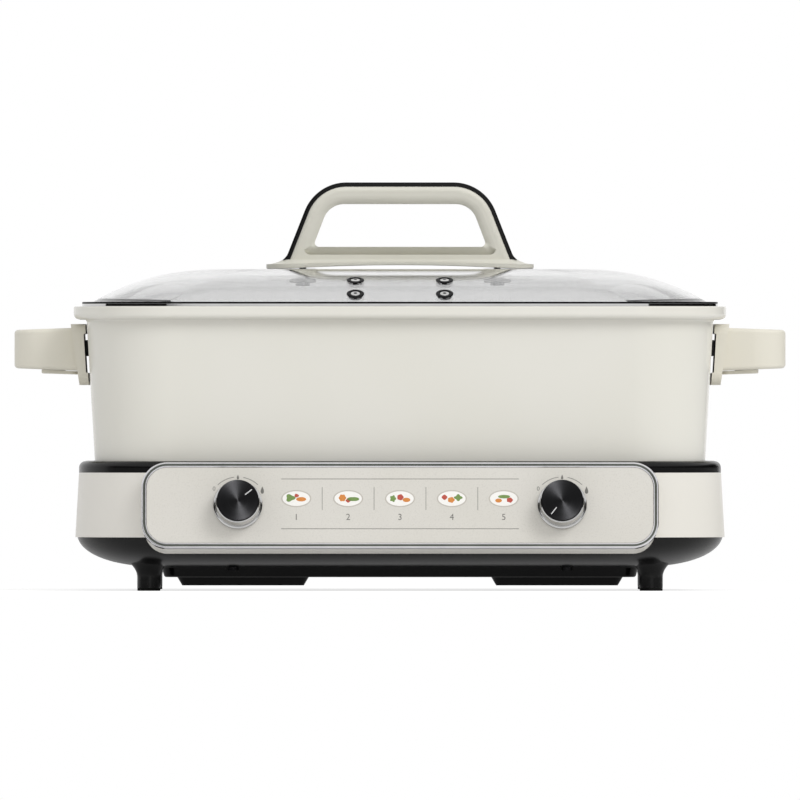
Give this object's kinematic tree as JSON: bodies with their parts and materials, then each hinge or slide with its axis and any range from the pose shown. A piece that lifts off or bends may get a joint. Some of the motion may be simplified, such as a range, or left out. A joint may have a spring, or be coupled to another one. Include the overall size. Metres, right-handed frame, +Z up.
{
  "type": "electric hot pot",
  "caption": "Electric hot pot: heated base with turning knobs, lift-out rectangular pan with side handles and a lift-off domed glass lid",
  "frame": {"origin": "middle of the footprint of the whole object, on the surface that its feet stand on", "axes": "+X along the pan to the right as seen from the control panel, +Z up, the control panel faces -Y"},
  "size_m": [0.4632, 0.2934, 0.2452],
  "materials": {
    "black_gloss": "piano black",
    "black_pp": "satin moulded black plastic",
    "black_silicone": "black silicone",
    "bracket_steel": "black painted sheet",
    "bright_trim": "bright plated",
    "cast_aluminium": "machined casting",
    "ceramic": "unglazed ceramic",
    "clear_silicone": "translucent silicone",
    "cream_handle": "fine matt cream plastic",
    "cream_pp": "semi-gloss moulded cream plastic",
    "element_sheath": "heat-stained steel sheath",
    "foot_rubber": "matt black rubber",
    "inlet_nylon": "moulded nylon",
    "knob_chrome": "dark chrome",
    "knob_face": "black spun metal",
    "knob_mark": "silver inlay",
    "lid_glass": "clear tempered",
    "pan_enamel": "cream outside, dark non-stick inside",
    "panel_print": "printed cream panel",
    "plated_brass": "nickel plated",
    "polished_steel": "polished stainless",
    "sensor_steel": "pressed steel",
    "shield_steel": "aluminised sheet",
    "spring_steel": "drawn spring wire",
    "switch_phenolic": "moulded phenolic",
    "vent_silicone": "black silicone",
    "zinc_steel": "zinc plated"
  },
  "bodies": {
    "base": {"base_band": "cream_pp", "base_bottom_shell": "black_pp", "base_screws": "zinc_steel", "base_top_frame": "black_pp", "control_housing": "cream_pp", "foot_pads": "foot_rubber", "heat_shield": "shield_steel", "heat_switch_left": "switch_phenolic", "heat_switch_right": "switch_phenolic", "heater_plate_left": "cast_aluminium", "heater_plate_right": "cast_aluminium", "heater_tube_left": "element_sheath", "heater_tube_right": "element_sheath", "inlet_pins": "plated_brass", "panel_fascia": "panel_print", "panel_trim": "bright_trim", "power_inlet": "inlet_nylon", "sensor_cup_left": "sensor_steel", "sensor_cup_right": "sensor_steel", "sensor_spring_left": "spring_steel", "sensor_spring_right": "spring_steel", "thermal_cutouts": "switch_phenolic", "tube_bushes": "ceramic", "vent_cover_left": "black_pp", "vent_cover_right": "black_pp"},
    "pot": {"handle_bracket_left": "bracket_steel", "handle_bracket_right": "bracket_steel", "handle_screws": "zinc_steel", "pot_pan": "pan_enamel", "side_handle_cover_left": "cream_handle", "side_handle_cover_right": "cream_handle", "side_handle_left": "cream_handle", "side_handle_right": "cream_handle"},
    "lid": {"lid_bead": "black_silicone", "lid_glass": "lid_glass", "lid_handle": "cream_handle", "lid_handle_foot": "cream_handle", "lid_handle_strip": "black_gloss", "lid_rim": "polished_steel", "lid_screws": "zinc_steel", "lid_washers": "clear_silicone", "vent_grommets": "vent_silicone"},
    "knob_left": {"knob_left_cap": "knob_face", "knob_left_mark": "knob_mark", "knob_left_shaft": "zinc_steel", "knob_left_skirt": "knob_chrome"},
    "knob_right": {"knob_right_cap": "knob_face", "knob_right_mark": "knob_mark", "knob_right_shaft": "zinc_steel", "knob_right_skirt": "knob_chrome"},
    "sensor_left": {"sensor_plunger_left": "cast_aluminium"},
    "sensor_right": {"sensor_plunger_right": "cast_aluminium"}
  },
  "joints": [
    {"name": "pot_lift", "type": "slide", "parent": "base", "child": "pot", "axis": [0, 0, 1], "range_m": [0, 0.12]},
    {"name": "lid_lift", "type": "slide", "parent": "pot", "child": "lid", "axis": [0, 0, 1], "range_m": [0, 0.12]},
    {"name": "knob_left_turn", "type": "hinge", "parent": "base", "child": "knob_left", "pos_m": [-0.0969, -0.12995, 0.05145], "axis": [0, 0.9781, -0.2079], "range_deg": [-104, 166]},
    {"name": "knob_right_turn", "type": "hinge", "parent": "base", "child": "knob_right", "pos_m": [0.0969, -0.12995, 0.05145], "axis": [0, 0.9781, -0.2079], "range_deg": [-270, 0]},
    {"name": "sensor_left_press", "type": "slide", "parent": "base", "child": "sensor_left", "axis": [0, 0, 1], "range_m": [-0.0015, 0], "stiffness_N_per_m": 500, "springref_m": 0.001, "deforming": ["sensor_spring_left"]},
    {"name": "sensor_right_press", "type": "slide", "parent": "base", "child": "sensor_right", "axis": [0, 0, 1], "range_m": [-0.0015, 0], "stiffness_N_per_m": 500, "springref_m": 0.001, "deforming": ["sensor_spring_right"]}
  ]
}
